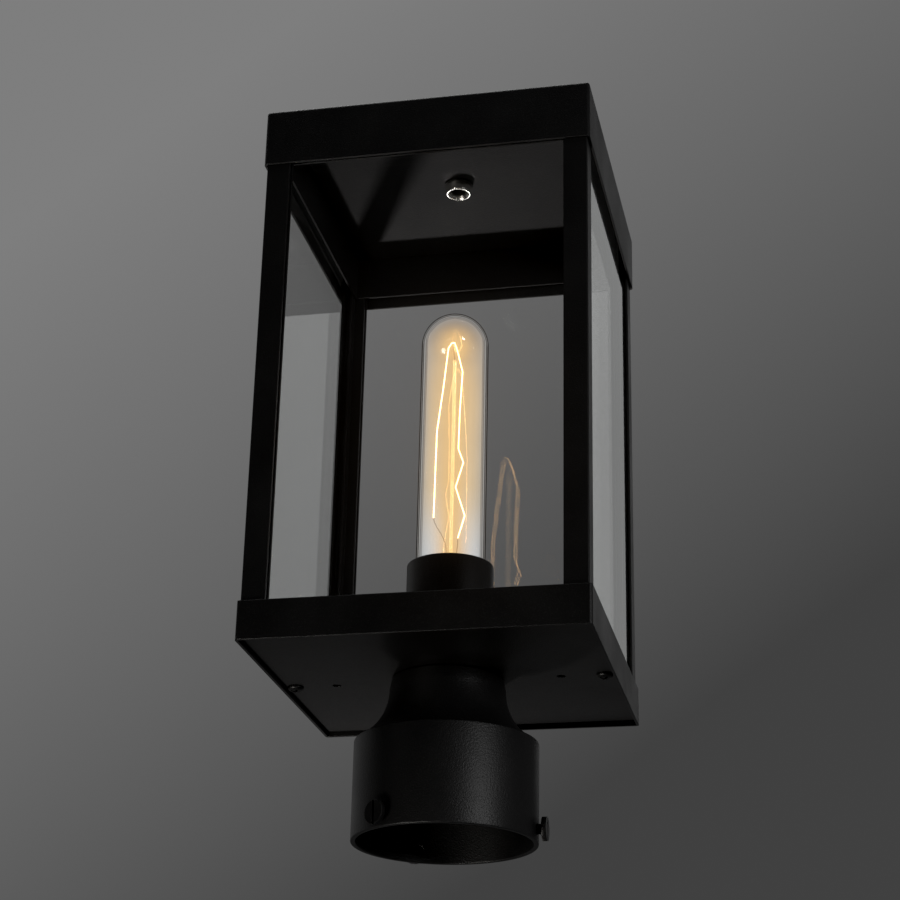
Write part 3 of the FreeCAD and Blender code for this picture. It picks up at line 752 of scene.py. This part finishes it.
# ---- lamp ---------------------------------------------------------------------------
def lamp():
    """Blown glass tube, its screw cap and the glass stem inside."""
    low, high = span("bulb_glass")
    cap_top = span("bulb_base")[1].z
    radius, wall, neck = high.x, 0.7, 12.65
    shoulder, shoulder_steps, ring_rises = 10.5, 12, (40, 75)
    dome_z = high.z - radius
    outline = [(neck, low.z), (neck, cap_top - 0.4)]
    for n in range(shoulder_steps + 1):
        rise = n / shoulder_steps
        ease = rise * rise * (3 - 2 * rise)
        outline.append((neck + (radius - neck) * ease, cap_top + shoulder * rise))
    outline += [(radius, cap_top + ring_rise) for ring_rise in ring_rises]
    outline += arc((0.0, dome_z), radius, 0, 90, 24)[:-1] + [(0.0, high.z)]
    glass = turned("blown_tube", outline, steps=128, fill=False)
    skin = glass.modifiers.new("wall", "SOLIDIFY")
    skin.thickness = wall * MM
    skin.offset = -1.0
    pick(glass)
    bpy.ops.object.modifier_apply(modifier=skin.name)
    stands_for(settle(glass), "lamp", "amber_glass", "bulb_glass")
    glass.visible_diffuse = False
    glass.visible_glossy = False

    low, high = span("bulb_base")
    radius, wall, taper, groove = high.x, 0.4, 2.9, 0.95
    foot = radius - taper / 2
    inner = radius - wall
    outline = [(foot - wall, low.z), (foot, low.z), (radius - 0.9, low.z + taper)]
    outline += thread(radius, radius - groove, low.z + taper + 0.5, high.z - 3.5, lamp_pitch)
    outline += [(radius, high.z - 2.6), (radius, high.z), (inner, high.z)]
    outline += [(inner - 0.75, high.z - 3.2), (inner - 0.75, low.z + taper), outline[0]]
    base = turned("rolled_lamp_cap", outline, steps=96)
    stands_for(base, "lamp", "lamp_brass", "bulb_base")

    low, high = span("bulb_stem")
    foot, tube, rod, tube_height = 11.9, 4.2, 0.8, 19.0
    step_z = low.z + tube_height
    outline = [(foot, low.z), (foot, low.z + 0.6), (foot - 3.2, low.z + 1.6),
               (tube + 1.4, low.z + 3.6), (tube, low.z + 6.5), (tube, step_z - 4.0),
               (tube - 0.4, step_z - 0.8), (tube - 1.4, step_z), (rod + 0.6, step_z + 0.1),
               (rod, step_z + 1.2), (rod, high.z - 1.2), (rod + 0.35, high.z - 0.6),
               (rod * 0.7, high.z - 0.1), (0.0, high.z)]
    stem = turned("glass_stem", outline, steps=48)
    stands_for(stem, "lamp", "stem_glass", "bulb_stem")


# Each point is (x, y, z): x and y as shares of the filament's reach, and z as the share of
# the way up from its lowest point to its peak.
left_strand = [(-1.0, 0.06, 0.12), (-0.93, 0.06, 0.55), (-0.62, 0.06, 0.78),
               (-0.38, 0.0, 0.975), (-0.2, 0.0, 1.0)]
right_strand = [(-0.02, -0.05, 0.998), (0.19, -0.23, 0.945), (0.52, -0.35, 0.83),
                (0.41, -0.35, 0.635), (0.37, -0.35, 0.44), (0.66, -0.35, 0.37),
                (0.26, -0.35, 0.25), (0.79, -0.35, 0.107), (0.44, -0.35, 0.0)]
filament_reach = 8.6
strand_radius = 0.27
support_radius = 0.24


def in_lamp(point):
    """Real place of a strand's point."""
    low, high = span("bulb_filament")
    end_gap = 0.4
    foot, peak = low.z + end_gap, high.z - end_gap
    x, y, rise = point
    return Vector((x * filament_reach, y * filament_reach, foot + rise * (peak - foot)))


def strands():
    """Filament, the two lead wires that feed it and the wires that hold it."""
    filament = wire("glowing_strand", [in_lamp(p) for p in left_strand + right_strand],
                    strand_radius, kinked=True)
    stands_for(filament, "lamp", "hot_filament", "bulb_filament")
    step_z = span("bulb_lead_wires")[0].z
    lead_reach, bend_drop, outward, inward = 2.6, 2.4, 0.9, 0.1
    leads = []
    for side, strand_end in ((-1, left_strand[0]), (1, right_strand[-1])):
        end = in_lamp(strand_end)
        lead = lead_reach * side
        points = [(lead, 0, step_z), (lead, 0, (step_z + end.z) / 2),
                  (end.x * outward + lead * inward, end.y * outward, end.z - bend_drop),
                  (end.x, end.y, end.z - strand_radius)]
        leads.append(wire("lead", points, support_radius))
    stands_for(joined("lead_wires", leads), "lamp", "wire_nickel", "bulb_lead_wires")
    rod_top = span("bulb_stem")[1].z
    peak = in_lamp(left_strand[-1])
    held = in_lamp(right_strand[3])
    rod_side, bow, foot_gap, tip_gap = 1.1, 0.15, 0.2, 0.5
    supports = []
    for start, end in ((Vector((0, 0, rod_top)), peak),
                       (Vector((rod_side, 0, held.z)), held)):
        along = (end - start).normalized()
        middle = (start + end) / 2 + along.orthogonal() * bow
        supports.append(wire("support", [start + along * foot_gap, middle, end - along * tip_gap],
                             support_radius, kinked=True))
    stands_for(joined("support_wires", supports), "lamp", "wire_nickel", "filament_anchors")


post_fitter()
thumb_screws()
small_screws()
roof_fixing()
lampholder()
lamp()
strands()


# ---- stage, light and camera --------------------------------------------------------
eye = Vector((0.194, -0.8993, -0.210))
to_right = Vector((0.97882, 0.20368, 0.02054))
downward = Vector((-0.06200, 0.39057, -0.91848))


def stage_finish(name, colour, roughness):
    """Dull, faintly mottled finish for what isn't part of the lantern."""
    finish = Finish(name)
    mottle = finish.noise(6.0, 4.0)
    finish.set(Base_Color=finish.mixed(mottle, (*colour, 1), (*(c * 0.94 for c in colour), 1)),
               Roughness=roughness)
    return finish


def stage():
    """Pale floor far below the lantern, and a black flag that only light can see."""
    floor_radius, floor_z = 2.6, -0.62
    flag_radius, flag_height, flag_middle, flag_edge = 1.7, 3.6, 0.6, 0.1
    bpy.ops.object.select_all(action="DESELECT")
    bpy.ops.mesh.primitive_circle_add(vertices=96, radius=floor_radius, fill_type="NGON",
                                      location=(0, 0, floor_z))
    floor = settle(named("studio_floor"))
    paint = stage_finish("pale_floor", (0.62, 0.61, 0.60), 0.7)
    flat = paint.node("ShaderNodeVectorMath", {"operation": "LENGTH"},
                      {0: paint.stretched((1 / floor_radius, 1 / floor_radius, 0.0))})
    fade = Value(paint, flat.outputs["Value"]) ** 3.0
    clear = paint.node("ShaderNodeBsdfTransparent")
    rim = paint.node("ShaderNodeMixShader", None, {
        0: fade, 1: paint.shader.outputs["BSDF"], 2: clear.outputs[0]})
    paint.feed(paint.output.inputs["Surface"], rim.outputs[0])
    floor.data.materials.append(paint.material)
    floor.visible_diffuse = False
    floor.visible_glossy = False

    bpy.ops.object.select_all(action="DESELECT")
    bpy.ops.mesh.primitive_cylinder_add(vertices=48, radius=flag_radius, depth=flag_height,
                                        end_fill_type="NOTHING", location=(0, 0, flag_middle))
    flag = named("black_flag")
    bpy.ops.object.mode_set(mode="EDIT")
    bpy.ops.mesh.select_all(action="SELECT")
    bpy.ops.mesh.bisect(plane_co=(0, flag_edge, 0), plane_no=(0, 1, 0), clear_outer=True)
    bpy.ops.object.mode_set(mode="OBJECT")
    settle(flag)
    flag.data.materials.append(stage_finish("black_cloth", (0.004, 0.004, 0.004), 1.0).material)
    flag.visible_camera = False
    flag.visible_transmission = False


def soft_light(name, place, aim, size, power, colour=(1.0, 1.0, 1.0), tall=None,
               shiny=True, plain=True):
    """Area light that is itself unseen."""
    bpy.ops.object.select_all(action="DESELECT")
    bpy.ops.object.light_add(type="AREA", location=place)
    light = named(name)
    light.data.shape = "ELLIPSE"
    light.data.size = size
    light.data.size_y = tall or size
    light.data.energy = power
    light.data.color = colour
    light.visible_camera = False
    light.visible_glossy = shiny
    light.visible_diffuse = plain
    light.rotation_euler = (Vector(aim) - Vector(place)).to_track_quat("-Z", "Y").to_euler()
    return light


def only_on(light, *names):
    """Keeps a light's glint to a few pieces."""
    lit = bpy.data.collections.new(light.name + "_lit")
    for name in names:
        lit.objects.link(bpy.data.objects[name])
    light.light_linking.receiver_collection = lit


def lights():
    """Key from behind and below for the ceiling, and weak boxes for the outer faces."""
    middle = (0.0, 0.0, 0.15)
    key_power = 1.24
    right_power = 3.52
    key = soft_light("key", (-0.31, 0.56, -0.30), (0.0, 0.0, 0.42), 0.06, key_power,
                     (1.0, 0.98, 0.95), shiny=False)
    key.data.spread = math.radians(45.0)
    soft_light("top", (-0.5, 0.3, 1.5), middle, 1.2, 7.0)
    soft_light("left_box", (-1.0, -0.85, 0.60), middle, 0.4, 0.12)
    soft_light("right_box", (0.98, -0.72, 0.12), (0.0, 0.0, 0.12), 0.4, right_power)
    soft_light("back_card", (0.29, 1.45, 0.80), middle, 0.36, 0.28, tall=1.0)
    soft_light("glint", (-0.32, -0.42, -0.42), (0.0, 0.0, 0.32), 0.16, 2.5,
               (1.0, 0.96, 0.90), plain=False)
    card = soft_light("nut_card", (-0.14, 0.66, -0.07), (0.0, 0.0, 0.32), 0.6, 7.0,
                      plain=False)
    only_on(card, "bright_ring_nut")


def backdrop():
    """Grey surroundings, paler up and to the left of the camera."""
    world = bpy.data.worlds.new("studio_grey")
    bpy.context.scene.world = world
    world.use_nodes = True
    tree = world.node_tree
    tree.nodes.clear()
    look = tree.nodes.new("ShaderNodeTexCoord")
    slope = tree.nodes.new("ShaderNodeVectorMath")
    slope.operation = "DOT_PRODUCT"
    rightward_loss, downward_loss = 0.25, 0.33
    slope.inputs[1].default_value = to_right * -rightward_loss + downward * -downward_loss
    tree.links.new(look.outputs["Generated"], slope.inputs[0])
    dark, pale = 0.053, 0.209
    dark_end, pale_end = -0.068, 0.082
    level = tree.nodes.new("ShaderNodeMapRange")
    level.inputs["From Min"].default_value = dark_end
    level.inputs["From Max"].default_value = pale_end
    level.inputs["To Min"].default_value = dark
    level.inputs["To Max"].default_value = pale
    tree.links.new(slope.outputs["Value"], level.inputs["Value"])
    air = tree.nodes.new("ShaderNodeBackground")
    tree.links.new(level.outputs["Result"], air.inputs["Color"])
    out = tree.nodes.new("ShaderNodeOutputWorld")
    tree.links.new(air.outputs[0], out.inputs["Surface"])


def camera():
    """The photograph's viewpoint: below the lantern, looking up."""
    bpy.ops.object.select_all(action="DESELECT")
    bpy.ops.object.camera_add()
    made = named("camera")
    sensor_width, focal_length, nearest = 36.0, 85.96, 0.01
    backward = to_right.cross(-downward)
    turn = Matrix((to_right, -downward, backward)).transposed()
    made.matrix_world = Matrix.Translation(eye) @ turn.to_4x4()
    made.data.sensor_width = sensor_width
    made.data.lens = focal_length
    made.data.clip_start = nearest
    bpy.context.scene.camera = made


def develop():
    """Soft glow round what is brighter than white, as a lens gives, and deep blacks."""
    scene = bpy.context.scene
    scene.use_nodes = True
    tree = scene.node_tree
    tree.nodes.clear()
    picture = tree.nodes.new("CompositorNodeRLayers")
    glare = tree.nodes.new("CompositorNodeGlare")
    glare.glare_type = "BLOOM"
    white, brightest, glow, glow_size, black = 1.0, 4.0, 0.32, 0.30, 0.0012
    glare.inputs["Threshold"].default_value = white
    glare.inputs["Clamp"].default_value = True
    glare.inputs["Maximum"].default_value = brightest
    glare.inputs["Strength"].default_value = glow
    glare.inputs["Size"].default_value = glow_size
    deepen = tree.nodes.new("CompositorNodeMixRGB")
    deepen.blend_type = "SUBTRACT"
    deepen.use_clamp = True
    deepen.inputs[2].default_value = (black, black, black, 0.0)
    result = tree.nodes.new("CompositorNodeComposite")
    tree.links.new(picture.outputs["Image"], glare.inputs["Image"])
    tree.links.new(glare.outputs["Image"], deepen.inputs[1])
    tree.links.new(deepen.outputs["Image"], result.inputs["Image"])


stage()
lights()
backdrop()
camera()
develop()
bpy.context.scene.view_settings.view_transform = "Standard"
